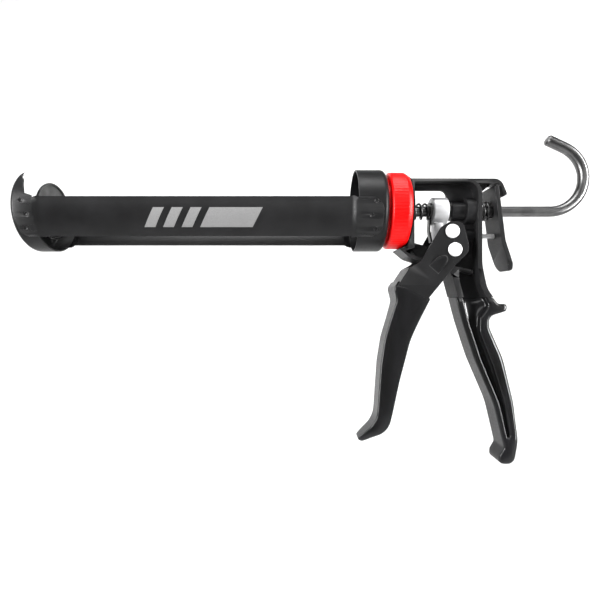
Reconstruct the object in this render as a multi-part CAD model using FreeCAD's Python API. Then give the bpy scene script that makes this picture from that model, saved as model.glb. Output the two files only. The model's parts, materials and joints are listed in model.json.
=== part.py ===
import FreeCAD, Part
import math
import os

from FreeCAD import Vector

# Caulking gun with a rotating two-strip cage for a round cartridge.
# Millimetres. X runs along the push rod, with the nozzle end at -X. Z is up, and
# the side strips lie at -Y and +Y. The origin is on the rod's axis, in the plane
# where the rear ring's back face meets the collar.

# --- driving dimensions -----------------------------------------------------
CAGE_ROLL = 3.8            # degrees the cage is turned about the rod, opening towards +Y
RING_R = 27.9              # rear ring cup, outside
RING_FRONT_X = -19.7
RING_SHEET = 1.2
RING_EDGE_R = 3.5          # rounded rear edge of the ring cup
CAP_FACE_X = -242.0        # front cap's outer face
CAP_RIM_X = -227.8         # front edge cup's skirt ends here
CAP_R = 27.9
CAP_SHEET = 1.2
CAP_EDGE_R = 3.0
HORN_GAP = 14.0            # half width between the horns' blunt tips
NOZZLE_R = 18.2            # nozzle opening in the cap
NOZZLE_Z = 12.3
STRIP_R = 26.2             # side strip, outside, between its ends
STRIP_SHEET = 1.0
STRIP_TOP = 6.2            # degrees above the horizontal
STRIP_BOTTOM = -53.3       # degrees below the horizontal
STRIP_STEP = 4.0           # length of the joggle at each end
TAB_END_GAP = 4.0          # strip ends stop short of the cup faces
STRIP_HALF = 14.0          # half width of the strip's blank between the joggles
TAB_HALF = 12.6            # half width of the tabs
TAB_CORNER_R = 7.5

SPIGOT_R = 9.0             # journal that the cage turns on
SPIGOT_X = -6.0
RUNNING = 0.05             # radial clearance of a running fit
RUNNING_GAP = 0.3          # end clearance between the ring and the collar
COLLAR_R = 26.2
COLLAR_BACK_X = 15.6
COLLAR_BACK_R = 24.6
COLLAR_FULL_X = 12.5       # the full radius ends here
COLLAR_HUB_R = 22.0        # recessed hub facing the ring
COLLAR_HUB_T = 1.5
COLLAR_FRONT_R = 24.8
COLLAR_FRONT_STEP = 1.2
WASHER_R = 15.0
WASHER_T = 1.5

ROD_R = 3.65
SPIGOT_BORE_GAP = 0.4      # radial clearances round the rod
PLATE_BORE_GAP = 0.35
BLOCK_BORE_GAP = 0.3
LEVER_BORE_GAP = 0.75
ROD_FRONT_X = -237.2
ROD_BEND_X = 117.7         # the hook's bend starts here
HOOK_R = 23.5
HOOK_TURN = 155.0          # degrees
HOOK_TAIL = 13.4
PLUNGER_X = -229.2         # back edge of the plunger plate's rim
PLUNGER_R = 19.4
PLUNGER_SHEET = 1.2
PLUNGER_RIM = 2.4
PLUNGER_EDGE_R = 2.1
PLUNGER_WASHER_T = 1.2
NUT_FLATS = 10.0
NUT_T = 4.6

FRAME_W = 10.0             # half width over the ribs
WEB_W = 1.5                # half thickness of the web
FLANGE_R = 23.6
FLANGE_X = 15.9
FLANGE_T = 1.2
FRONT_WALL_X = 20.3
FRAME_BACK = 66.0
CROSS_RIB_W = 4.0          # half width of the low rib above the handle's pocket
WINDOW_TOP = 14.6
WINDOW_BOTTOM = -22.0
WINDOW_BACK = 49.2
BOSS_R = 9.2
BOSS_X = 57.0
SLEEVE_R = 6.6
SLEEVE_X = 47.6
HOOK_TOP = 21.6
HOOK_W = 6.0

GRIP_SKIN = 1.2            # dipped vinyl on the handle
GRIP_SWELL = 0.6           # the vinyl stands this far outside the outline of the metal above it
DIP_Z = -60.0              # upper edge of the handle's vinyl
HANDLE_W = 10.0            # half width over the vinyl
HANDLE_EDGE_R = 1.0

PIVOT = (46.7, -28.0)      # trigger pivot, X and Z
DRIVE_PIN = (45.0, -15.7)  # drive pin, X and Z
PIVOT_R = 3.0
PIVOT_BOSS_R = 6.5
RIVET_HEAD_R = 4.7
RIVET_HEAD_T = 1.5
TRIGGER_W = 12.5           # half width over the cheeks
TRIGGER_SHEET = 1.5
TRIGGER_TIP_W = 9.2        # half width of the finger part, without the vinyl
TRIGGER_SKIN = 0.8
TRIGGER_SWELL = 0.5        # extra vinyl on the front and back edges

SPRING_R = 5.9             # drive spring, outside
SPRING_WIRE = 0.75         # wire radius
SPRING_TURNS = 7
SPRING_SEAT_X = 1.0        # bottom of the spring's bore in the spigot
PLATE_X = 32.6             # drive plate
PLATE_T = 1.3
PLATE_R = 6.0
PLATE_TAIL_W = 2.0
BLOCK_FRONT_X = 34.0
BLOCK_BACK_X = 44.6
BLOCK_R = 9.6
TONGUE_BACK_X = 41.6
TONGUE_W = 4.5
TONGUE_BOTTOM = -20.0

LEVER_PIVOT = (75.6, 16.4)  # top edge of the release lever, X and Z
LEVER_TILT = 7.1            # degrees, lower end towards the back
LEVER_T = 2.9
LEVER_W = 10.5
LEVER_BEND = 38.5           # distance from the pivot to the bend
LEVER_LOWER = 21.0          # length below the bend
LEVER_KICK = 11.0           # degrees the lower end is bent back
BRAKE_SPRING_R = 6.9
BRAKE_SPRING_X = 74.2      # wire centre at the lever's end
PIN_Z = -17.3
PIN_R = 1.65
PIN_BOSS_R = 4.3

# Depth of the front cap's skirt from the cap's face, against Z.
CAP_SKIRT = [(14.2, 2.9), (9.2, 4.6), (8.8, 6.5), (6.1, 14.5), (3.0, 17.8), (1.2, 20.0)]

# --- outlines, as X, Z and corner radius ------------------------------------
FRAME_OUTLINE = [
    (16.0, 20.5, 0.4), (66.2, 20.5, 10.5), (66.2, -38.0, 40.0), (69.5, -54.0, 18.0),
    (77.5, -65.3, 4.0), (83.5, -65.0, 1.2), (83.3, -69.0, 1.4), (71.8, -72.5, 6.0),
    (70.6, -79.5, 10.0), (80.5, -102.0, 50.0), (87.6, -132.0, 60.0), (90.8, -158.0, 20.0),
    (88.2, -173.6, 8.0), (79.0, -173.2, 5.0), (79.2, -168.5, 2.5), (82.6, -163.0, 1.5),
    (75.5, -133.0, 60.0), (62.0, -101.5, 60.0), (54.0, -77.0, 60.0), (45.8, -46.0, 12.0),
    (41.0, -37.5, 6.0), (24.0, -35.4, 12.0), (16.6, -33.0, 10.0), (9.8, -27.2, 0.8),
    (10.4, -26.6, 0.3), (16.0, -26.6, 0.4)]
HANDLE_POCKET = [
    (50.5, -40.0, 1.0), (63.5, -40.0, 0.5), (65.0, -52.0, 15.0), (71.3, -65.5, 3.0),
    (65.4, -74.0, 5.0), (65.0, -83.0, 8.0), (74.0, -106.0, 50.0), (82.3, -133.0, 50.0),
    (86.0, -155.0, 1.5), (84.3, -157.0, 1.0), (79.0, -133.0, 50.0), (66.5, -103.0, 60.0),
    (58.0, -77.0, 60.0), (50.5, -48.0, 10.0)]
UPPER_POCKET = [
    (FRONT_WALL_X, 18.2, 0.5), (63.5, 18.2, 8.0), (63.5, -41.0, 0.5), (50.5, -41.0, 1.0),
    (42.0, -35.2, 4.0), (24.6, -33.2, 8.0), (17.8, -31.2, 6.0), (13.4, -28.4, 0.5),
    (FRONT_WALL_X, -26.4, 0.5)]
CROSS_RIB = [(47.8, -38.0, 0.3), (62.3, -41.1, 0.3), (62.3, -44.6, 0.3), (45.7, -40.8, 0.3)]
WINDOW = [
    (FRONT_WALL_X, WINDOW_TOP, 0.5), (44.6, WINDOW_TOP, 4.5), (46.0, 0.0, 1.0),
    (WINDOW_BACK, -7.0, 1.0), (WINDOW_BACK, WINDOW_BOTTOM, 1.5),
    (31.0, -24.4, 8.0), (FRONT_WALL_X, -21.5, 0.5)]
HOOK = [
    (55.0, 19.0, 0.3), (57.0, HOOK_TOP, 2.0), (80.8, HOOK_TOP, 7.0), (85.4, 10.2, 1.8),
    (82.0, 9.6, 1.0), (80.6, 17.0, 1.2), (78.5, 18.4, 1.0), (64.0, 18.4, 0.5)]
GUSSET = [(64.0, 19.0, 0.3), (76.0, 19.0, 0.5), (64.0, 9.0, 0.3)]
TRIGGER_OUTLINE = [
    (43.8, -8.0, 3.5), (53.0, -8.8, 8.0), (57.8, -29.0, 8.0), (47.6, -38.9, 15.0),
    (30.6, -60.6, 12.0), (17.5, -88.5, 60.0), (10.0, -117.0, 60.0), (2.6, -151.5, 14.0),
    (-14.6, -159.2, 3.0), (-17.9, -157.6, 2.0), (-4.6, -145.5, 18.0), (-1.8, -105.0, 50.0),
    (0.9, -88.0, 40.0), (8.6, -62.5, 6.0), (6.6, -53.5, 4.0), (15.8, -39.4, 6.0),
    (23.2, -35.6, 8.0), (36.6, -12.4, 8.0)]
TRIGGER_FRONT = slice(10, 16)   # the outline points along the channel's front wall


# --- helpers ----------------------------------------------------------------
def rounded_face(points):
    """Flat face in the XZ plane through the points, each corner rounded by its own radius."""
    edges = []
    count = len(points)
    starts, ends, mids = [], [], []
    for i in range(count):
        x, z, radius = points[i]
        corner = Vector(x, 0, z)
        before = Vector(points[i - 1][0], 0, points[i - 1][1]) - corner
        after = Vector(points[(i + 1) % count][0], 0, points[(i + 1) % count][1]) - corner
        half = before.getAngle(after) / 2
        cut = min(radius / math.tan(half), 0.48 * before.Length, 0.48 * after.Length)
        before.normalize()
        after.normalize()
        reach = cut / math.cos(half) - cut * math.tan(half)
        inward = before + after
        inward.normalize()
        starts.append(corner + before * cut)
        ends.append(corner + after * cut)
        mids.append(corner + inward * reach)
    for i in range(count):
        edges.append(Part.Arc(starts[i], mids[i], ends[i]).toShape())
        edges.append(Part.LineSegment(ends[i], starts[(i + 1) % count]).toShape())
    return Part.Face(Part.Wire(edges))


def slab(face, low, high):
    """The XZ face pushed along Y from low to high."""
    body = face.extrude(Vector(0, high - low, 0))
    body.translate(Vector(0, low, 0))
    return body


def box(low, high):
    size = [b - a for a, b in zip(low, high)]
    return Part.makeBox(size[0], size[1], size[2], Vector(*low))


def rod_x(radius, low, high, y=0.0, z=0.0):
    return Part.makeCylinder(radius, high - low, Vector(low, y, z), Vector(1, 0, 0))


def rod_y(radius, low, high, place):
    return Part.makeCylinder(radius, high - low, Vector(place[0], low, place[1]), Vector(0, 1, 0))


def turned(profile):
    """Solid of revolution about the X axis from (x, radius) points."""
    points = [Vector(x, 0, r) for x, r in profile]
    wire = Part.makePolygon(points + points[:1])
    return Part.Face(wire).revolve(Vector(0, 0, 0), Vector(1, 0, 0), 360)


def coil(radius, wire_r, low, high, turns):
    """Open coil spring on the X axis, with its wire's centre running from low to high."""
    helix = Part.makeHelix((high - low) / turns, high - low, radius)
    helix.rotate(Vector(0, 0, 0), Vector(0, 1, 0), 90)
    helix.translate(Vector(low, 0, 0))
    edge = helix.Edges[0]
    start = edge.valueAt(edge.FirstParameter)
    along = edge.tangentAt(edge.FirstParameter)
    ring = Part.Wire(Part.makeCircle(wire_r, start, along))
    return Part.Wire(helix.Edges).makePipeShell([ring], True, True)


def sector(inner, outer, low, high, start, stop):
    """Curved sheet about the X axis between two angles from -Y towards +Z."""
    body = rod_x(outer, low, high).cut(rod_x(inner, low - 1, high + 1))
    reach = 2 * outer
    wedge_points = [Vector(low, 0, 0)]
    steps = 6
    for i in range(steps + 1):
        angle = math.radians(start + (stop - start) * i / steps)
        wedge_points.append(Vector(low, -reach * math.cos(angle), reach * math.sin(angle)))
    wedge = Part.Face(Part.makePolygon(wedge_points + wedge_points[:1]))
    return body.common(wedge.extrude(Vector(high - low, 0, 0)))


def mirrored_y(shape):
    return shape.mirror(Vector(0, 0, 0), Vector(0, 1, 0))


def rolled(shape):
    """Turns a cage piece about the rod by the cage's roll."""
    turn = shape.copy()
    turn.rotate(Vector(0, 0, 0), Vector(1, 0, 0), -CAGE_ROLL)
    return turn


# --- cage -------------------------------------------------------------------
def cup(outer_r, sheet, edge_r, closed_x, open_x):
    """Pressed cup on the X axis, closed at closed_x, with a rounded closed edge."""
    sign = 1 if open_x > closed_x else -1
    length = abs(open_x - closed_x)
    outer = Part.makeCylinder(outer_r, length, Vector(closed_x, 0, 0), Vector(sign, 0, 0))
    rim = [e for e in outer.Edges if abs(e.CenterOfMass.x - closed_x) < 0.01 and e.Length > 20]
    outer = outer.makeFillet(edge_r, rim)
    inner = Part.makeCylinder(
        outer_r - sheet, length, Vector(closed_x + sign * sheet, 0, 0), Vector(sign, 0, 0))
    rim = [e for e in inner.Edges
           if abs(e.CenterOfMass.x - closed_x - sign * sheet) < 0.01 and e.Length > 20]
    inner = inner.makeFillet(edge_r - sheet, rim)
    return outer.cut(inner)


def front_cap():
    """Cup with a round nozzle opening that breaks out at the top and leaves two horns."""
    body = cup(CAP_R, CAP_SHEET, CAP_EDGE_R, CAP_FACE_X, CAP_RIM_X)
    opening = rod_x(NOZZLE_R, CAP_FACE_X - 5, CAP_RIM_X + 5, 0, NOZZLE_Z)
    gap = box((CAP_FACE_X - 5, -HORN_GAP, CAP_R / 2 + 5), (CAP_RIM_X + 5, HORN_GAP, 2 * CAP_R))
    # Above the strips the skirt tapers towards the horns' tips.
    points = [Vector(CAP_FACE_X + depth, 0, z) for depth, z in CAP_SKIRT]
    points += [Vector(points[-1].x, 0, 2 * CAP_R), Vector(CAP_RIM_X + 5, 0, 2 * CAP_R),
               Vector(CAP_RIM_X + 5, 0, points[0].z)]
    above = slab(Part.Face(Part.makePolygon(points + points[:1])), -2 * CAP_R, 2 * CAP_R)
    return rolled(body.cut(opening).cut(gap).cut(above))


def rear_ring():
    body = cup(RING_R, RING_SHEET, RING_EDGE_R, 0.0, RING_FRONT_X)
    return rolled(body.cut(rod_x(SPIGOT_R + RUNNING, -5, 5)))


def side_strip():
    """Near side strip with a joggled, rounded tab lapped over each cup."""
    front = CAP_FACE_X + TAB_END_GAP
    back = -TAB_END_GAP
    step_front = CAP_RIM_X + 0.8
    step_back = RING_FRONT_X - 0.8
    inner = STRIP_R - STRIP_SHEET
    tab_in = RING_R
    tab_out = RING_R + STRIP_SHEET
    profile = [
        (front, tab_in), (front, tab_out), (step_front, tab_out),
        (step_front + STRIP_STEP, STRIP_R), (step_back - STRIP_STEP, STRIP_R),
        (step_back, tab_out), (back, tab_out), (back, tab_in),
        (step_back - 0.2, tab_in), (step_back - STRIP_STEP, inner),
        (step_front + STRIP_STEP, inner), (step_front + 0.2, tab_in)]
    tube = turned(profile)
    wedge = sector(STRIP_R - 8, STRIP_R + 8, front - 1, back + 1, STRIP_BOTTOM, STRIP_TOP)
    body = tube.common(wedge)
    # Rounded tab ends, cut by a round-cornered plate seen along the middle of the strip.
    middle = (STRIP_TOP + STRIP_BOTTOM) / 2
    upper = [
        (front, TAB_HALF, TAB_CORNER_R), (step_front, TAB_HALF, 1.0),
        (step_front + STRIP_STEP, STRIP_HALF, 1.0), (step_back - STRIP_STEP, STRIP_HALF, 1.0),
        (step_back, TAB_HALF, 1.0), (back, TAB_HALF, TAB_CORNER_R)]
    plate = rounded_face(upper + [(x, -z, radius) for x, z, radius in reversed(upper)])
    mask = slab(plate, -2 * STRIP_R, 0)
    mask.rotate(Vector(0, 0, 0), Vector(1, 0, 0), -middle)
    return body.common(mask)


def collar():
    """Ring with a recessed hub towards the rear ring and a bevelled back edge."""
    hub_end = RUNNING_GAP + COLLAR_HUB_T
    body = turned([
        (RUNNING_GAP, SPIGOT_R + RUNNING), (RUNNING_GAP, COLLAR_HUB_R), (hub_end, COLLAR_HUB_R),
        (hub_end, COLLAR_FRONT_R), (hub_end + COLLAR_FRONT_STEP, COLLAR_R),
        (COLLAR_FULL_X, COLLAR_R), (COLLAR_BACK_X, COLLAR_BACK_R),
        (COLLAR_BACK_X, SPIGOT_R + RUNNING)])
    return rolled(body)


def cage_washer():
    low = -RING_SHEET - 0.4 - WASHER_T
    return rod_x(WASHER_R, low, low + WASHER_T).cut(rod_x(SPIGOT_R, low - 1, low + 3))


# --- frame ------------------------------------------------------------------
def both_sides(face, inner):
    """The XZ face pushed outwards on both sides of the web."""
    reach = 3 * FRAME_W
    return slab(face, inner, reach).fuse(slab(face, -reach, -inner))


def above_dip():
    return box((-10, -3 * FRAME_W, DIP_Z), (110, 3 * FRAME_W, 60))


def below_dip():
    return box((-10, -3 * FRAME_W, -200), (110, 3 * FRAME_W, DIP_Z))


def frame():
    outline = rounded_face(FRAME_OUTLINE)
    pocket = rounded_face(HANDLE_POCKET)
    # Inside the vinyl the casting is thinner by the skin.
    core_w = HANDLE_W - GRIP_SKIN
    full = slab(outline, -FRAME_W, FRAME_W).common(above_dip())
    core = slab(outline.makeOffset2D(-GRIP_SKIN), -core_w, core_w).common(below_dip())
    body = full.fuse(core)
    body = body.fuse(rod_x(FLANGE_R, FLANGE_X, FLANGE_X + FLANGE_T))
    body = body.cut(both_sides(rounded_face(UPPER_POCKET), WEB_W))
    body = body.cut(both_sides(pocket, WEB_W).common(above_dip()))
    body = body.cut(both_sides(pocket.makeOffset2D(GRIP_SKIN), WEB_W).common(below_dip()))
    body = body.fuse(slab(rounded_face(CROSS_RIB), -CROSS_RIB_W, CROSS_RIB_W))
    body = body.cut(slab(rounded_face(WINDOW), -3 * FRAME_W, 3 * FRAME_W))
    body = body.fuse(rod_x(BOSS_R, BOSS_X, FRAME_BACK))
    body = body.fuse(rod_y(PIVOT_BOSS_R, -FRAME_W, FRAME_W, PIVOT))
    # Hook over the release lever, with a gusset under it.
    body = body.fuse(slab(rounded_face(HOOK), -HOOK_W, HOOK_W))
    body = body.fuse(slab(rounded_face(GUSSET), -WEB_W, WEB_W))
    body = body.fuse(rod_x(SPIGOT_R, SPIGOT_X, FLANGE_X + 1))
    body = body.fuse(rod_x(PIN_BOSS_R, BOSS_X, FRAME_BACK, 0, PIN_Z + 0.6))
    # Bores: rod and drive spring at the front, bushing seat at the back, guide pin, pivot.
    body = body.cut(rod_x(ROD_R + SPIGOT_BORE_GAP, SPIGOT_X - 1, FRONT_WALL_X + 1))
    body = body.cut(rod_x(SPRING_R + 0.3, SPRING_SEAT_X, FRONT_WALL_X + 5))
    body = body.cut(rod_x(SLEEVE_R, SLEEVE_X - 5, FRAME_BACK + 5))
    body = body.cut(box((BOSS_X + 2, -PIN_R - 0.4, PIN_Z - PIN_R - 0.4),
                        (FRAME_BACK + 5, PIN_R + 0.4, PIN_Z + PIN_R + 1.7)))
    body = body.cut(rod_y(PIVOT_R, -30, 30, PIVOT))
    return body.removeSplitter()


def rod_bushing():
    body = rod_x(SLEEVE_R, SLEEVE_X, FRAME_BACK + 0.6)
    return body.cut(rod_x(ROD_R + RUNNING, SLEEVE_X - 1, FRAME_BACK + 5))


def handle_grip():
    """Dipped vinyl skin over the handle, inside its pockets too."""
    outline = rounded_face(FRAME_OUTLINE).makeOffset2D(GRIP_SWELL)
    body = slab(outline, -HANDLE_W, HANDLE_W).common(below_dip())
    rims = [e for e in body.Edges if abs(abs(e.CenterOfMass.y) - HANDLE_W) < 0.01
            and e.BoundBox.ZMin < DIP_Z - 1.0]
    body = body.makeFillet(HANDLE_EDGE_R, rims)
    body = body.cut(both_sides(rounded_face(HANDLE_POCKET), WEB_W + GRIP_SKIN))
    return body.cut(frame())


# --- trigger ----------------------------------------------------------------
def front_view(wide, tip):
    """Prism along X that narrows from the cheeks to the finger end."""
    half = [(wide, 20), (wide, -52), (tip, -74), (tip, -140), (tip - 1.6, -152), (tip - 5, -161)]
    points = [Vector(-60, -y, z) for y, z in half]
    points += [Vector(-60, y, z) for y, z in reversed(half)]
    return Part.Face(Part.makePolygon(points + points[:1])).extrude(Vector(180, 0, 0))


def channel_blank(skin):
    """Outside of the trigger's channel, skin thicker than the steel on every side."""
    face = rounded_face(TRIGGER_OUTLINE)
    face = face.makeOffset2D(skin - TRIGGER_SKIN if skin < TRIGGER_SKIN else TRIGGER_SWELL)
    body = slab(face, -TRIGGER_W - skin, TRIGGER_W + skin)
    return body.common(front_view(TRIGGER_W + skin, TRIGGER_TIP_W + skin))


def channel_space(wall):
    """Space inside the channel, open towards the handle and above the bend."""
    front = [(x + 1.06 * wall, z, r) for x, z, r in TRIGGER_OUTLINE[TRIGGER_FRONT]]
    points = [(80.0, 10.0, 1.0), (80.0, -170.0, 1.0), (-12.0, -170.0, 1.0)]
    points += front + [(15.0, -30.0, 0.5), (15.0, 10.0, 0.5)]
    side = TRIGGER_W - TRIGGER_SHEET
    tip = TRIGGER_TIP_W - TRIGGER_SHEET
    grow = TRIGGER_SHEET + TRIGGER_SKIN - wall
    return slab(rounded_face(points), -side - grow, side + grow).common(front_view(side + grow, tip + grow))


def below_trigger_dip():
    """Space below the slanting upper edge of the trigger's vinyl."""
    high, low = Vector(9.4, 0, -49.0), Vector(29.8, 0, -60.4)
    along = (low - high).normalize()
    down = Vector(along.z, 0, -along.x)
    corners = [high - along * 90, low + along * 90,
               low + along * 90 + down * 160, high - along * 90 + down * 160]
    return slab(Part.Face(Part.makePolygon(corners + corners[:1])), -40, 40)


def trigger():
    body = channel_blank(0.0).cut(channel_space(TRIGGER_SHEET + TRIGGER_SKIN))
    body = body.cut(rod_y(PIVOT_R, -30, 30, PIVOT))
    return body.cut(rod_y(PIVOT_R, -30, 30, DRIVE_PIN))


def trigger_grip():
    body = channel_blank(TRIGGER_SKIN).cut(channel_space(TRIGGER_SHEET + 2 * TRIGGER_SKIN))
    body = body.common(below_trigger_dip())
    return body.cut(channel_blank(0.0).cut(channel_space(TRIGGER_SHEET + TRIGGER_SKIN)))


def rivet(place):
    """Pin through both cheeks with a flat round head on each side."""
    body = rod_y(PIVOT_R, -TRIGGER_W - 0.5, TRIGGER_W + 0.5, place)
    for side in (-1, 1):
        face = side * TRIGGER_W
        low = min(face, face + side * RIVET_HEAD_T)
        body = body.fuse(rod_y(RIVET_HEAD_R, low, low + RIVET_HEAD_T, place))
    return body.removeSplitter()


# --- drive ------------------------------------------------------------------
def drive_spring():
    low = SPRING_SEAT_X + SPRING_WIRE + 0.05
    return coil(SPRING_R - SPRING_WIRE, SPRING_WIRE, low, PLATE_X - SPRING_WIRE - 0.05, SPRING_TURNS)


def drive_plate():
    """Round spring plate in front of the block, with a narrow bowed tail below the rod."""
    back = PLATE_X + PLATE_T
    tail = rounded_face([
        (PLATE_X, -4.5, 0.3), (back, -4.5, 0.3), (back - 0.5, -14.0, 12.0),
        (back + 1.3, -22.0, 0.4), (PLATE_X + 1.3, -22.0, 0.4), (PLATE_X - 0.5, -14.0, 12.0)])
    body = rod_x(PLATE_R, PLATE_X, back).fuse(slab(tail, -PLATE_TAIL_W, PLATE_TAIL_W))
    return body.cut(rod_x(ROD_R + PLATE_BORE_GAP, PLATE_X - 5, PLATE_X + 5))


def drive_block():
    body = rod_x(BLOCK_R, BLOCK_FRONT_X, BLOCK_BACK_X)
    ends = [e for e in body.Edges if e.Length > 20 and e.BoundBox.XLength < 0.01]
    body = body.makeChamfer(0.6, ends)
    tongue = box((BLOCK_FRONT_X + 2.0, -TONGUE_W, TONGUE_BOTTOM), (TONGUE_BACK_X, TONGUE_W, -4.0))
    body = body.fuse(tongue)
    return body.cut(rod_x(ROD_R + BLOCK_BORE_GAP, BLOCK_FRONT_X - 5, BLOCK_BACK_X + 5)).removeSplitter()


def release_lever():
    """Brake plate hung in the hook, with its lower end kicked back as a thumb tab."""
    half = LEVER_T / 2
    kick = math.radians(LEVER_KICK)
    end_x = LEVER_LOWER * math.sin(kick)
    end_z = -LEVER_BEND - LEVER_LOWER * math.cos(kick)
    off_x = half * math.cos(kick)
    off_z = half * math.sin(kick)
    profile = rounded_face([
        (-half, 0.0, 1.0), (half, 0.0, 1.0), (half, -LEVER_BEND, 14.0), (end_x + off_x, end_z + off_z, 1.2),
        (end_x - off_x, end_z - off_z, 1.2), (-half, -LEVER_BEND - 0.8, 14.0)])
    body = slab(profile, -LEVER_W, LEVER_W)
    view = rounded_face([
        (-LEVER_W, 5.0, 0.5), (LEVER_W, 5.0, 0.5), (LEVER_W, end_z - 1.6, LEVER_W - 0.6),
        (-LEVER_W, end_z - 1.6, LEVER_W - 0.6)])
    view.rotate(Vector(0, 0, 0), Vector(0, 0, 1), 90)
    mask = view.extrude(Vector(80, 0, 0))
    mask.translate(Vector(-30, 0, 0))
    body = body.common(mask)
    body.rotate(Vector(0, 0, 0), Vector(0, 1, 0), -LEVER_TILT)
    body.translate(Vector(LEVER_PIVOT[0], 0, LEVER_PIVOT[1]))
    return body.cut(rod_x(ROD_R + LEVER_BORE_GAP, 60, 100))


def guide_pin():
    body = rod_x(PIN_R, FRAME_BACK - 2.5, 83.0, 0, PIN_Z)
    behind = slab(rounded_face([
        (-LEVER_T / 2, 10.0, 1.0), (30.0, 10.0, 1.0), (30.0, -60.0, 1.0),
        (-LEVER_T / 2, -60.0, 1.0)]), -8, 8)
    behind.rotate(Vector(0, 0, 0), Vector(0, 1, 0), -LEVER_TILT)
    behind.translate(Vector(LEVER_PIVOT[0], 0, LEVER_PIVOT[1]))
    return body.cut(behind)


def brake_spring():
    low = FRAME_BACK + 0.65 + SPRING_WIRE
    return coil(BRAKE_SPRING_R - SPRING_WIRE, SPRING_WIRE, low, BRAKE_SPRING_X, 2.5)


# --- push rod ---------------------------------------------------------------
def push_rod():
    start = Vector(ROD_FRONT_X, 0, 0)
    bend = Vector(ROD_BEND_X, 0, 0)
    centre = Vector(ROD_BEND_X, 0, HOOK_R)

    def on_arc(turn):
        angle = math.radians(turn)
        return centre + Vector(HOOK_R * math.sin(angle), 0, -HOOK_R * math.cos(angle))

    end = on_arc(HOOK_TURN)
    turn = math.radians(HOOK_TURN)
    tail = end + Vector(HOOK_TAIL * math.cos(turn), 0, HOOK_TAIL * math.sin(turn))
    path = Part.Wire([
        Part.LineSegment(start, bend).toShape(),
        Part.Arc(bend, on_arc(HOOK_TURN / 2), end).toShape(),
        Part.LineSegment(end, tail).toShape()])
    ring = Part.Wire(Part.makeCircle(ROD_R, start, Vector(1, 0, 0)))
    body = path.makePipeShell([ring], True, True)
    ends = [e for e in body.Edges if isinstance(e.Curve, Part.Circle)
            and abs(e.Length - 2 * math.pi * ROD_R) < 0.01
            and (e.CenterOfMass - tail).Length < 0.01]
    return body.makeChamfer(1.1, ends)


def plunger_plate():
    """Pressed disc with its rim turned back, away from the cartridge."""
    body = cup(PLUNGER_R, PLUNGER_SHEET, PLUNGER_EDGE_R, PLUNGER_X - PLUNGER_RIM, PLUNGER_X)
    return body.cut(rod_x(ROD_R, PLUNGER_X - 10, PLUNGER_X + 10))


def hex_nut(low):
    corner = NUT_FLATS / math.sqrt(3)
    points = [Vector(low, corner * math.cos(math.radians(60 * i)), corner * math.sin(math.radians(60 * i)))
              for i in range(7)]
    body = Part.Face(Part.makePolygon(points)).extrude(Vector(NUT_T, 0, 0))
    chamfer = turned([(low, 0), (low, corner - 0.7), (low + 0.7, corner + 0.1),
                      (low + NUT_T - 0.7, corner + 0.1), (low + NUT_T, corner - 0.7), (low + NUT_T, 0)])
    return body.common(chamfer).cut(rod_x(ROD_R, low - 1, low + NUT_T + 1))


def plunger_washer():
    low = PLUNGER_X - PLUNGER_RIM + PLUNGER_SHEET
    body = rod_x(8.0, low, low + PLUNGER_WASHER_T)
    return body.cut(rod_x(ROD_R, low - 1, low + 3))


# --- files ------------------------------------------------------------------
def pieces():
    strip = side_strip()
    return {
        "front_cap": front_cap(),
        "rear_ring": rear_ring(),
        "side_strip_near": rolled(strip),
        "side_strip_far": rolled(mirrored_y(strip)),
        "collar": collar(),
        "cage_washer": cage_washer(),
        "frame": frame(),
        "rod_bushing": rod_bushing(),
        "handle_grip": handle_grip(),
        "trigger": trigger(),
        "trigger_grip": trigger_grip(),
        "pivot_rivet": rivet(PIVOT),
        "drive_rivet": rivet(DRIVE_PIN),
        "drive_spring": drive_spring(),
        "drive_plate": drive_plate(),
        "drive_block": drive_block(),
        "release_lever": release_lever(),
        "guide_pin": guide_pin(),
        "brake_spring": brake_spring(),
        "push_rod": push_rod(),
        "plunger_plate": plunger_plate(),
        "plunger_washer": plunger_washer(),
        "plunger_nut_front": hex_nut(PLUNGER_X - PLUNGER_RIM - NUT_T),
        "plunger_nut_rear": hex_nut(PLUNGER_X - PLUNGER_RIM + PLUNGER_SHEET + PLUNGER_WASHER_T),
    }


def main():
    os.makedirs("parts", exist_ok=True)
    for name, shape in pieces().items():
        solids = len(shape.Solids)
        print(f"{name:20s} solids {solids} valid {shape.isValid()} volume {shape.Volume:.1f}")
        shape.exportStep(f"parts/{name}.step")


main()
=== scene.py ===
import json
import math

import bmesh
import bpy
from mathutils import Matrix, Vector


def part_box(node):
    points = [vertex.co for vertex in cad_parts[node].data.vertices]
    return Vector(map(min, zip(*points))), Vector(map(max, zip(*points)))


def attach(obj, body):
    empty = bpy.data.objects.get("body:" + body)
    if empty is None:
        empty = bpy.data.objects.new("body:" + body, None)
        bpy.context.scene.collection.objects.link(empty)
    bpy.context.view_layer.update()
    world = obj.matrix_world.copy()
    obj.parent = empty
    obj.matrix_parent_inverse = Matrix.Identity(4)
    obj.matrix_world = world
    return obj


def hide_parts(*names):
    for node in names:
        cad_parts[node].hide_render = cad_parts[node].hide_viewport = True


# Caulking gun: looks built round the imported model, in metres, in the model's own frame.
# +X runs along the push rod towards its hook, +Z is up, and the near strip is at -Y.

MM = 0.001

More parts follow.
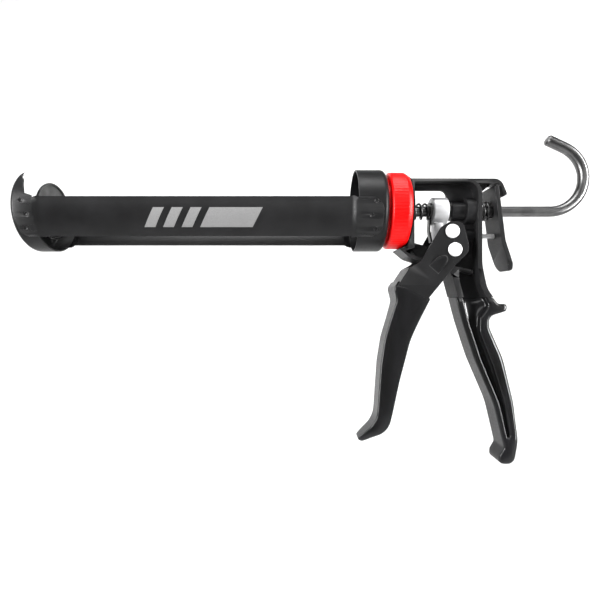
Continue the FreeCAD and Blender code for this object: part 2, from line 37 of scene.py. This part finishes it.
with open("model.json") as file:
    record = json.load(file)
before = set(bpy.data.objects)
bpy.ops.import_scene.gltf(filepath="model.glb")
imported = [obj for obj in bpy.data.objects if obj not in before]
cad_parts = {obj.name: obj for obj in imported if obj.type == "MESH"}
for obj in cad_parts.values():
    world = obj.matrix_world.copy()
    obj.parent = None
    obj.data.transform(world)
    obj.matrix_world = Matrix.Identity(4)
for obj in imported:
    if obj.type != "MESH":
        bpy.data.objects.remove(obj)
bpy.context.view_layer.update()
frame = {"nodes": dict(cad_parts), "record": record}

# --- sizes -------------------------------------------------------------------
CAMERA_AT = (-57.3 * MM, -286.0 * MM, -61.9 * MM)
FOCAL_RATIO = 408.0 / 600.0        # focal length over the frame's width
SENSOR_MM = 36.0

CAGE_ROLL = 3.8                    # degrees the cage is turned, near side up
STRIP_R = 26.2 * MM                # outside of a side strip between its tabs
TAB_R = 28.9 * MM                  # outside of a tab
COLLAR_R = 26.2                    # the collar's ribbed band, in millimetres
COLLAR_BORE = 9.05
RIBS = 72                          # fine ribs round the collar
RIB_DEPTH = 0.22 * MM

# Press dimples on each tab: place along X in millimetres, degrees above the horizontal.
DIMPLES = [(-233.5, 2.0), (-231.0, -15.0), (-233.2, -32.5), (-9.0, 1.5), (-11.4, -16.5), (-8.6, -34.0)]
DIMPLE_R = 2.3 * MM
DIMPLE_DEPTH = 0.55 * MM

# Plain slanted bars printed on the near strip: start and length along X, in millimetres.
BARS = [(-158.0, 7.0), (-146.0, 7.0), (-134.0, 7.0), (-122.0, 34.0)]
BAR_TOP, BAR_BOTTOM = -6.0, -34.0  # degrees above the horizontal
BAR_LEAN = 7.0                     # millimetres that a bar's top leans towards +X
BAR_OVER, BAR_UNDER = 0.05, -0.2   # the print's outer and inner face, from the strip's surface

LOUVER_AT = (36.3, -37.2)          # pressed louver on each cheek, X and Z in millimetres
LOUVER_TURN = 49.0
LOUVER_LENGTH = 12.0 * MM
LOUVER_HALF = 4.2 * MM
LOUVER_RISE = 2.6 * MM
LOUVER_ROOT = 0.4 * MM             # how far the louver reaches into the cheek
CHEEK_Y = 12.5 * MM
HEAD_SIDES = 64
HANDLE_DIP = (0, 0, -60.0)         # upper edges of the vinyl, in millimetres
TRIGGER_DIP = (9.4, 0, -49.0)
CROWN_PASSES = 500
TRIGGER_DIP_NORMAL = (11.4, 0, 20.4)
TRIGGER_CUT = (7.9, 0, -51.6)      # the bare metal's end, under the trigger's vinyl
DIP_OVERLAP = 3.0                  # millimetres that the frame's metal runs on under the vinyl
CRISP = 32                         # degrees between faces past which an edge stays crisp

NOISE_LOW, NOISE_HIGH = 0.3, 0.7   # between these lies most of a noise texture's output
HIGHLIGHT_FROM, HIGHLIGHT_TO = 0.53, 0.6     # pointiness at which the painted edge highlight starts and is full
HIGHLIGHT_MOST = 0.55                   # share of the lighter grey, a painted highlight, on the sharpest edges
LINE_DEPTH = 0.03 * MM             # fine lines drawn along a metal


# --- node helpers ------------------------------------------------------------
class Look:
    """A procedural material under construction."""

    def __init__(self, name, **inputs):
        self.material = bpy.data.materials.new(name)
        self.material.use_nodes = True
        self.tree = self.material.node_tree
        self.shader = self.tree.nodes["Principled BSDF"]
        for key, value in inputs.items():
            self.shader.inputs[key.replace("_", " ")].default_value = value
        self.place = self.tree.nodes.new("ShaderNodeTexCoord").outputs["Object"]

    def link(self, source, target):
        self.tree.links.new(source, target)

    def stretched(self, scale):
        node = self.tree.nodes.new("ShaderNodeMapping")
        node.inputs["Scale"].default_value = scale
        self.link(self.place, node.inputs["Vector"])
        return node.outputs["Vector"]

    def noise(self, scale, detail=3.0, rough=0.5, vector=None):
        node = self.tree.nodes.new("ShaderNodeTexNoise")
        node.inputs["Scale"].default_value = scale
        node.inputs["Detail"].default_value = detail
        node.inputs["Roughness"].default_value = rough
        self.link(vector or self.place, node.inputs["Vector"])
        return node.outputs["Fac"]

    def ramp(self, value, stops):
        node = self.tree.nodes.new("ShaderNodeValToRGB")
        ends = node.color_ramp.elements
        while len(ends) < len(stops):
            ends.new(0.5)
        for end, (place, colour) in zip(ends, stops):
            end.position = place
            end.color = (*colour, 1.0)
        self.link(value, node.inputs["Fac"])
        return node.outputs["Color"]

    def tones(self, value, dark, light):
        return self.ramp(value, [(NOISE_LOW, dark), (NOISE_HIGH, light)])

    def span(self, value, low, high):
        """The noise value, spread from low to high."""
        node = self.tree.nodes.new("ShaderNodeMapRange")
        node.inputs["To Min"].default_value = low
        node.inputs["To Max"].default_value = high
        node.inputs["From Min"].default_value = NOISE_LOW
        node.inputs["From Max"].default_value = NOISE_HIGH
        self.link(value, node.inputs["Value"])
        return node.outputs["Result"]

    def edges(self):
        """Brighter where the surface turns outwards sharply."""
        node = self.tree.nodes.new("ShaderNodeNewGeometry")
        return node.outputs["Pointiness"]

    def mix(self, factor, a, b):
        node = self.tree.nodes.new("ShaderNodeMix")
        node.data_type = "RGBA"
        self.link(factor, node.inputs[0])
        self.link(a, node.inputs[6])
        node.inputs[7].default_value = (*b, 1.0)
        return node.outputs[2]

    def bump(self, height, distance, strength=1.0, under=None):
        node = self.tree.nodes.new("ShaderNodeBump")
        node.inputs["Distance"].default_value = distance
        node.inputs["Strength"].default_value = strength
        self.link(height, node.inputs["Height"])
        if under is not None:
            self.link(under, node.inputs["Normal"])
        return node.outputs["Normal"]

    def finish(self, colour=None, rough=None, normal=None):
        for source, name in ((colour, "Base Color"), (rough, "Roughness"), (normal, "Normal")):
            if source is not None:
                self.link(source, self.shader.inputs[name])
        return self.material


def grey(value, tint=1.0):
    return (value, value, value * tint)


def painted_edge_highlight(look, colour, edge_light):
    """Painted edge highlight: a lighter grey where the surface turns outwards sharply."""
    factor = look.tree.nodes.new("ShaderNodeMapRange")
    factor.inputs["From Min"].default_value = HIGHLIGHT_FROM
    factor.inputs["From Max"].default_value = HIGHLIGHT_TO
    factor.inputs["To Max"].default_value = HIGHLIGHT_MOST
    look.link(look.edges(), factor.inputs["Value"])
    return look.mix(factor.outputs["Result"], colour, edge_light)


# --- materials ---------------------------------------------------------------
def cast_coat():
    look = Look("cast_coat", Specular_IOR_Level=0.14)
    grain = look.noise(1900.0, 4.0, 0.6)
    cloud = look.noise(70.0, 3.0)
    colour = look.tones(cloud, grey(0.007, 1.05), grey(0.012, 1.05))
    # Painted highlight: sharp outward edges turn a lighter grey.
    colour = painted_edge_highlight(look, colour, grey(0.10))
    normal = look.bump(grain, 0.00006, 0.7)
    return look.finish(colour, look.span(grain, 0.40, 0.58), normal)


def satin_paint():
    look = Look("satin_paint", Specular_IOR_Level=0.17)
    peel = look.noise(900.0, 3.0, 0.5)
    cloud = look.noise(45.0, 4.0)
    colour = look.tones(cloud, grey(0.006, 1.05), grey(0.011, 1.05))
    # Painted highlight: sharp outward edges turn a lighter grey.
    colour = painted_edge_highlight(look, colour, grey(0.09))
    normal = look.bump(peel, 0.00004, 0.5)
    return look.finish(colour, look.span(peel, 0.33, 0.45), normal)


def dipped_vinyl():
    look = Look("dipped_vinyl", Specular_IOR_Level=0.05, Coat_Weight=0.4, Coat_Roughness=0.1)
    runs = look.noise(1.0, 2.0, 0.4, look.stretched((90.0, 90.0, 30.0)))
    fine = look.noise(700.0, 2.0)
    colour = look.tones(runs, grey(0.004), grey(0.008, 1.1))
    normal = look.bump(runs, 0.0004, 0.35)
    normal = look.bump(fine, 0.00002, 0.4, normal)
    return look.finish(colour, look.span(fine, 0.42, 0.55), normal)


def red_plastic():
    look = Look("red_moulding", Specular_IOR_Level=0.22)
    grain = look.noise(1400.0, 3.0)
    cloud = look.noise(60.0, 2.0)
    colour = look.tones(cloud, (0.62, 0.001, 0.0012), (0.72, 0.002, 0.002))
    normal = look.bump(grain, 0.00003, 0.5)
    return look.finish(colour, look.span(grain, 0.30, 0.42), normal)


def metal(name, low, high, rough, drawn, metallic=1.0):
    """Metal with fine lines along the direction in which its scale is smallest."""
    look = Look(name, Metallic=metallic)
    lines = look.noise(1.0, 4.0, 0.6, look.stretched(drawn))
    cloud = look.noise(120.0, 3.0)
    colour = look.tones(cloud, low, high)
    normal = look.bump(lines, LINE_DEPTH, 0.5)
    return look.finish(colour, look.span(lines, rough[0], rough[1]), normal)


def printed_grey():
    look = Look("printed_grey", Specular_IOR_Level=0.4)
    speck = look.noise(2600.0, 4.0, 0.7)
    colour = look.ramp(speck, [(0.35, grey(0.13)), (0.6, grey(0.19))])
    return look.finish(colour, look.span(speck, 0.45, 0.6), look.bump(speck, 0.00002, 0.4))


LOOKS = {
    "cast_black": cast_coat(),
    "black_steel": satin_paint(),
    "vinyl": dipped_vinyl(),
    "red_plastic": red_plastic(),
    "zinc": metal("zinc_plate", grey(0.50, 1.02), grey(0.58, 1.02), (0.34, 0.46),
                  (900, 900, 900), metallic=0.45),
    "bright_steel": metal("bright_rivet", grey(0.66), grey(0.76), (0.38, 0.5),
                          (600, 600, 1800), metallic=0.35),
    "spring_steel": metal("spring_wire", grey(0.05), grey(0.10), (0.28, 0.4), (1500, 1500, 1500)),
    "rod_steel": metal("drawn_rod", grey(0.10), grey(0.16), (0.26, 0.38), (60, 2600, 2600)),
}
PRINT = printed_grey()
PLUNGER = metal("plunger_steel", grey(0.05), grey(0.11), (0.3, 0.42), (500, 1500, 1500))
SLOTS = {row["node"]: row["material_slot"] for row in frame["record"]["subparts"]}
BODIES = {node: body for body, nodes in frame["record"]["behaviour"]["bodies"].items() for node in nodes}


# --- mesh helpers ------------------------------------------------------------
def new_piece(name, mesh, body, slot, material=None):
    piece = bpy.data.objects.new(name, mesh)
    bpy.context.scene.collection.objects.link(piece)
    mesh.materials.clear()
    mesh.materials.append(material or LOOKS[slot])
    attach(piece, body)
    return piece


def mesh_of(work, name, crisp=None):
    """The mesh of a finished bmesh, smooth up to the crisp angle in degrees if one is given."""
    mesh = bpy.data.meshes.new(name)
    work.to_mesh(mesh)
    work.free()
    if crisp is not None:
        for face in mesh.polygons:
            face.use_smooth = True
        mesh.set_sharp_from_angle(angle=math.radians(crisp))
    return mesh


def welded(node):
    """A copy of a CAD node's mesh with its split corners joined."""
    work = bmesh.new()
    work.from_mesh(frame["nodes"][node].data)
    bmesh.ops.remove_doubles(work, verts=work.verts, dist=2e-6)
    bmesh.ops.recalc_face_normals(work, faces=work.faces)
    return mesh_of(work, node + "_mesh", CRISP)


def cut_off(mesh, point, normal):
    """Takes away what lies on the normal's side of a plane and closes the cut."""
    work = bmesh.new()
    work.from_mesh(mesh)
    bmesh.ops.bisect_plane(
        work, geom=work.verts[:] + work.edges[:] + work.faces[:],
        plane_co=Vector(point) * MM, plane_no=Vector(normal), clear_outer=True)
    bmesh.ops.holes_fill(work, edges=[edge for edge in work.edges if edge.is_boundary])
    bmesh.ops.recalc_face_normals(work, faces=work.faces)
    work.to_mesh(mesh)
    work.free()


def refined(node, name, bevel, segments=3, cutter=None, hidden=None):
    """The node's shape with its sharp edges broken, standing for the CAD node."""
    piece = new_piece(name, welded(node), BODIES[node], SLOTS[node])
    if hidden is not None:
        cut_off(piece.data, *hidden)
        piece.data.set_sharp_from_angle(angle=math.radians(CRISP))
    if cutter is not None:
        cut = piece.modifiers.new("dents", "BOOLEAN")
        cut.operation = "DIFFERENCE"
        cut.solver = "EXACT"
        cut.object = cutter
    edge = piece.modifiers.new("edges", "BEVEL")
    edge.width = bevel
    edge.segments = segments
    edge.limit_method = "ANGLE"
    edge.angle_limit = math.radians(35)
    edge.use_clamp_overlap = False
    edge.harden_normals = True
    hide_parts(node)
    return piece


def bake_modifiers(piece):
    """Turns the piece's modifiers into its mesh."""
    graph = bpy.context.evaluated_depsgraph_get()
    mesh = bpy.data.meshes.new_from_object(piece.evaluated_get(graph))
    piece.modifiers.clear()
    piece.data = mesh


def dipped(node, core, name, point, normal, voxel, passes):
    """One soft skin round the node and the metal inside it, rounded as dipping leaves it."""
    inside = welded(core)
    cut_off(inside, point, normal)
    work = bmesh.new()
    work.from_mesh(inside)
    work.from_mesh(welded(node))
    piece = new_piece(name, mesh_of(work, name), BODIES[node], SLOTS[node])
    remesh = piece.modifiers.new("skin", "REMESH")
    remesh.mode = "VOXEL"
    remesh.voxel_size = voxel
    remesh.use_smooth_shade = True
    relax = piece.modifiers.new("relax", "SMOOTH")
    relax.factor = 0.5
    relax.iterations = passes
    # Across the object only: the flanks swell while the outline keeps its shape.
    crown = piece.modifiers.new("crown", "SMOOTH")
    crown.factor = 0.5
    crown.iterations = CROWN_PASSES
    crown.use_x = crown.use_z = False
    bpy.context.view_layer.update()
    bake_modifiers(piece)
    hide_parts(node)
    return piece


def on_strip(x, degrees, radius, side=-1):
    """Point on the cage's round surface, x in millimetres, measured with the cage as stored."""
    angle = math.radians(degrees)
    return Vector((x * MM, side * radius * math.cos(angle), radius * math.sin(angle)))


# --- pieces ------------------------------------------------------------------
def dimple_cutter(name, side):
    """Small balls that press the dimples into both tabs of one strip."""
    work = bmesh.new()
    for x, degrees in DIMPLES:
        # The far strip is the near one's mirror image, before the cage was turned.
        turned = degrees if side < 0 else degrees - 2 * CAGE_ROLL
        reach = TAB_R + DIMPLE_R - DIMPLE_DEPTH
        place = on_strip(x, turned, reach, side)
        bmesh.ops.create_uvsphere(
            work, u_segments=24, v_segments=14, radius=DIMPLE_R, matrix=Matrix.Translation(place))
    cutter = bpy.data.objects.new(name, mesh_of(work, name))
    bpy.context.scene.collection.objects.link(cutter)
    return cutter


def strips():
    for node, side in (("side_strip_near", -1), ("side_strip_far", 1)):
        cutter = dimple_cutter(node + "_dimples", side)
        piece = refined(node, node.replace("side_strip", "strip"), 0.22 * MM, 2, cutter)
        bpy.context.view_layer.update()
        bake_modifiers(piece)
        bpy.data.objects.remove(cutter)


def printed_bars():
    """Plain slanted bars, a thin layer of print that follows the strip's curve."""
    steps = 16
    work = bmesh.new()
    for start, length in BARS:
        rows = []
        for i in range(steps + 1):
            t = i / steps
            degrees = BAR_BOTTOM + (BAR_TOP - BAR_BOTTOM) * t
            left = start + BAR_LEAN * t
            right = left + length
            ring = [(left, BAR_OVER), (right, BAR_OVER), (right, BAR_UNDER), (left, BAR_UNDER)]
            rows.append([work.verts.new(on_strip(x, degrees, STRIP_R + lift * MM)) for x, lift in ring])
        for low, high in zip(rows, rows[1:]):
            for k in range(4):
                work.faces.new((low[k], low[(k + 1) % 4], high[(k + 1) % 4], high[k]))
        work.faces.new(rows[0])
        work.faces.new(list(reversed(rows[-1])))
    bmesh.ops.recalc_face_normals(work, faces=work.faces)
    new_piece("printed_bars", mesh_of(work, "printed_bars", 30), "cage", "black_steel", PRINT)


def collar_ribs():
    """The red collar, turned from its profile, with fine grooves round its widest band."""
    low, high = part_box("collar")
    front, back = low.x, high.x
    profile = [
        (front, COLLAR_BORE), (front, 21.6), (front + 0.4 * MM, 22.0), (front + 1.5 * MM, 22.0),
        (front + 1.5 * MM, 24.4), (front + 1.9 * MM, 24.9), (front + 2.7 * MM, 26.0),
        (front + 3.1 * MM, COLLAR_R), (12.2 * MM, COLLAR_R), (12.6 * MM, 26.15),
        (back - 0.7 * MM, 24.95), (back - 0.2 * MM, 24.6), (back, 24.2), (back, COLLAR_BORE)]
    steps = RIBS * 6
    work = bmesh.new()
    rings = []
    for x, radius in profile:
        ring = []
        for i in range(steps):
            turn = 2 * math.pi * i / steps
            groove = 0.0
            if radius == COLLAR_R:
                groove = RIB_DEPTH * max(0.0, math.cos(turn * RIBS)) ** 2
            r = radius * MM - groove
            ring.append(work.verts.new((x, r * math.cos(turn), r * math.sin(turn))))
        rings.append(ring)
    for a, b in zip(rings, rings[1:] + rings[:1]):
        for i in range(steps):
            j = (i + 1) % steps
            work.faces.new((a[i], a[j], b[j], b[i]))
    bmesh.ops.recalc_face_normals(work, faces=work.faces)
    piece = new_piece("ribbed_collar", mesh_of(work, "collar_ribs", 40), "cage", "red_plastic")
    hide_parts("collar")


def rivet_heads():
    """Low domed head on each cheek, over the node's own pin."""
    for node in ("pivot_rivet", "drive_rivet"):
        low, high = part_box(node)
        x, z = (low.x + high.x) / 2, (low.z + high.z) / 2
        radius = (high.x - low.x) / 2
        top = high.y
        line = [(0.0, top), (0.3, top - 0.02 * MM), (0.6, top - 0.12 * MM), (0.8, top - 0.3 * MM),
                (0.92, top - 0.55 * MM), (0.985, top - 0.85 * MM), (1.0, top - 1.15 * MM),
                (1.0, CHEEK_Y), (0.6, CHEEK_Y), (0.6, -CHEEK_Y)]
        line += [(share, -y) for share, y in reversed(line[:-2])]
        turned_piece(node + "_domed", line, radius, (x, z), node)


def turned_piece(name, line, radius, place, node):
    """Round piece along Y from its half outline: share of the radius against y."""
    work = bmesh.new()
    rings = []
    for share, y in line:
        if share == 0.0:
            rings.append([work.verts.new((place[0], y, place[1]))])
            continue
        ring = []
        for i in range(HEAD_SIDES):
            turn = 2 * math.pi * i / HEAD_SIDES
            reach = share * radius
            ring.append(work.verts.new(
                (place[0] + reach * math.cos(turn), y, place[1] + reach * math.sin(turn))))
        rings.append(ring)
    for a, b in zip(rings, rings[1:]):
        for i in range(HEAD_SIDES):
            j = (i + 1) % HEAD_SIDES
            corners = [a[i % len(a)], a[j % len(a)], b[j % len(b)], b[i % len(b)]]
            work.faces.new(list(dict.fromkeys(corners)))
    bmesh.ops.recalc_face_normals(work, faces=work.faces)
    piece = new_piece(name, mesh_of(work, name, 40), BODIES[node], SLOTS[node])
    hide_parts(node)


def louvers():
    """Pressed half-round louver on each cheek, rising towards the rivets."""
    along, across = 18, 14
    turn = math.radians(LOUVER_TURN)
    for name, side in (("cheek_louver_near", -1), ("cheek_louver_far", 1)):
        work = bmesh.new()
        grid = []
        for i in range(along + 1):
            u = i / along
            row = []
            for k in range(across + 1):
                v = -1 + 2 * k / across
                plan = math.sqrt(max(0.0, 1 - v * v))
                rise = LOUVER_RISE * plan * math.sin(math.pi / 2 * u) ** 1.4
                length = LOUVER_LENGTH * (0.35 + 0.65 * plan) * u
                x = LOUVER_AT[0] * MM + (length - LOUVER_LENGTH / 2) * math.cos(turn) \
                    - v * LOUVER_HALF * math.sin(turn)
                z = LOUVER_AT[1] * MM + (length - LOUVER_LENGTH / 2) * math.sin(turn) \
                    + v * LOUVER_HALF * math.cos(turn)
                row.append((work.verts.new((x, side * (CHEEK_Y + rise), z)),
                            work.verts.new((x, side * (CHEEK_Y - LOUVER_ROOT), z))))
            grid.append(row)
        for i in range(along):
            for k in range(across):
                a, b, c, d = grid[i][k], grid[i + 1][k], grid[i + 1][k + 1], grid[i][k + 1]
                work.faces.new((a[0], b[0], c[0], d[0]))
                work.faces.new((d[1], c[1], b[1], a[1]))
        rim = [grid[i][0] for i in range(along + 1)]
        rim += [grid[along][k] for k in range(1, across + 1)]
        rim += [grid[i][across] for i in range(along - 1, -1, -1)]
        rim += [grid[0][k] for k in range(across - 1, 0, -1)]
        for i, pair in enumerate(rim):
            after = rim[(i + 1) % len(rim)]
            work.faces.new((pair[0], after[0], after[1], pair[1]))
        bmesh.ops.remove_doubles(work, verts=work.verts, dist=1e-7)
        bmesh.ops.recalc_face_normals(work, faces=work.faces)
        new_piece(name, mesh_of(work, name, 50), "trigger", "black_steel")


def build():
    strips()
    printed_bars()
    collar_ribs()
    louvers()
    rivet_heads()
    dipped("handle_grip", "frame", "handle_dip", HANDLE_DIP, (0, 0, 1), voxel=0.5 * MM, passes=24)
    dipped("trigger_grip", "trigger", "trigger_dip", TRIGGER_DIP, TRIGGER_DIP_NORMAL,
           voxel=0.45 * MM, passes=20)
    refined("front_cap", "cap_shell", 0.3 * MM)
    refined("rear_ring", "ring_shell", 0.3 * MM)
    handle_cut = (0, 0, HANDLE_DIP[2] - DIP_OVERLAP)
    refined("frame", "frame_casting", 0.28 * MM, hidden=(handle_cut, (0, 0, -1)))
    downwards = [-part for part in TRIGGER_DIP_NORMAL]
    refined("trigger", "trigger_channel", 0.3 * MM, hidden=(TRIGGER_CUT, downwards))
    refined("release_lever", "brake_plate", 0.4 * MM)
    refined("drive_block", "clamp_block", 0.25 * MM)
    plunger = refined("plunger_plate", "plunger_disc", 0.3 * MM)
    plunger.data.materials[0] = PLUNGER
    refined("plunger_washer", "plunger_shim", 0.2 * MM)
    refined("cage_washer", "cage_shim", 0.2 * MM)
    refined("rod_bushing", "rod_sleeve", 0.25 * MM)
    for node in ("plunger_nut_front", "plunger_nut_rear"):
        refined(node, node.replace("plunger_nut", "hex_nut"), 0.2 * MM)
    for node in ("drive_spring", "brake_spring", "drive_plate", "guide_pin", "push_rod"):
        part = frame["nodes"][node]
        part.data.materials.clear()
        part.data.materials.append(LOOKS[SLOTS[node]])


# --- stage -------------------------------------------------------------------
def floor():
    """A pale sweep: a floor that curves up into a back wall."""
    near, wall_y, height, half, bend = -2.5, 1.15, 2.4, 3.2, 0.35
    base = -0.36
    steps = 12
    line = [(near, base), (wall_y - bend, base)]
    for i in range(1, steps + 1):
        turn = math.radians(90 * i / steps)
        line.append((wall_y - bend + bend * math.sin(turn), base + bend * (1 - math.cos(turn))))
    line.append((wall_y, height))
    work = bmesh.new()
    rows = [[work.verts.new((x, y, z)) for y, z in line] for x in (-half, half)]
    for i in range(len(line) - 1):
        work.faces.new((rows[0][i], rows[1][i], rows[1][i + 1], rows[0][i + 1]))
    mesh = mesh_of(work, "sweep")
    for face in mesh.polygons:
        face.use_smooth = True
    look = Look("sweep_paper", Specular_IOR_Level=0.0, Roughness=0.9)
    tone = look.noise(6.0, 2.0)
    look.finish(look.tones(tone, grey(0.90), grey(0.93)))
    mesh.materials.append(look.material)
    sweep = bpy.data.objects.new("sweep", mesh)
    bpy.context.scene.collection.objects.link(sweep)


def softbox(name, place, target, size, watts, spread):
    """Rectangular lamp turned towards its target; the spread is in degrees."""
    light = bpy.data.lights.new(name, "AREA")
    light.shape = "RECTANGLE"
    light.size, light.size_y = size
    light.energy = watts
    light.spread = math.radians(spread)
    lamp = bpy.data.objects.new(name, light)
    bpy.context.scene.collection.objects.link(lamp)
    lamp.location = place
    lamp.rotation_euler = (Vector(target) - Vector(place)).to_track_quat("-Z", "Y").to_euler()


def lights():
    middle = (-0.02, 0.0, -0.05)
    softbox("top", (-0.05, -0.22, 0.75), middle, (1.1, 0.30), 2.2, 70)
    softbox("front_high", (-0.10, -1.05, 0.33), middle, (1.5, 0.16), 0.65, 80)
    softbox("left_strip", (-0.80, -0.50, 0.0), middle, (0.12, 0.9), 3.8, 70)
    softbox("right_strip", (0.80, -0.42, 0.05), middle, (0.12, 0.9), 3.8, 70)
    for name, x in (("wall_left", -0.7), ("wall_right", 0.7)):
        softbox(name, (x, 0.35, 1.0), (x, 1.15, 0.35), (1.3, 0.5), 9.5, 130)
    softbox("wall_low", (0.0, 0.55, 0.9), (0.0, 1.05, -0.2), (2.6, 0.3), 2.2, 90)
    world = bpy.data.worlds.new("studio")
    world.use_nodes = True
    world.node_tree.nodes["Background"].inputs["Color"].default_value = (0.9, 0.9, 0.9, 1)
    world.node_tree.nodes["Background"].inputs["Strength"].default_value = 0.05
    bpy.context.scene.world = world


def camera():
    view = bpy.data.objects.new("camera", bpy.data.cameras.new("camera"))
    bpy.context.scene.collection.objects.link(view)
    view.data.sensor_width = SENSOR_MM
    view.data.lens = FOCAL_RATIO * SENSOR_MM
    view.data.clip_start = 0.01
    view.location = CAMERA_AT
    view.rotation_euler = (math.radians(90), 0, 0)
    bpy.context.scene.camera = view


bpy.context.scene.view_settings.view_transform = "Standard"
camera()
floor()
lights()
build()
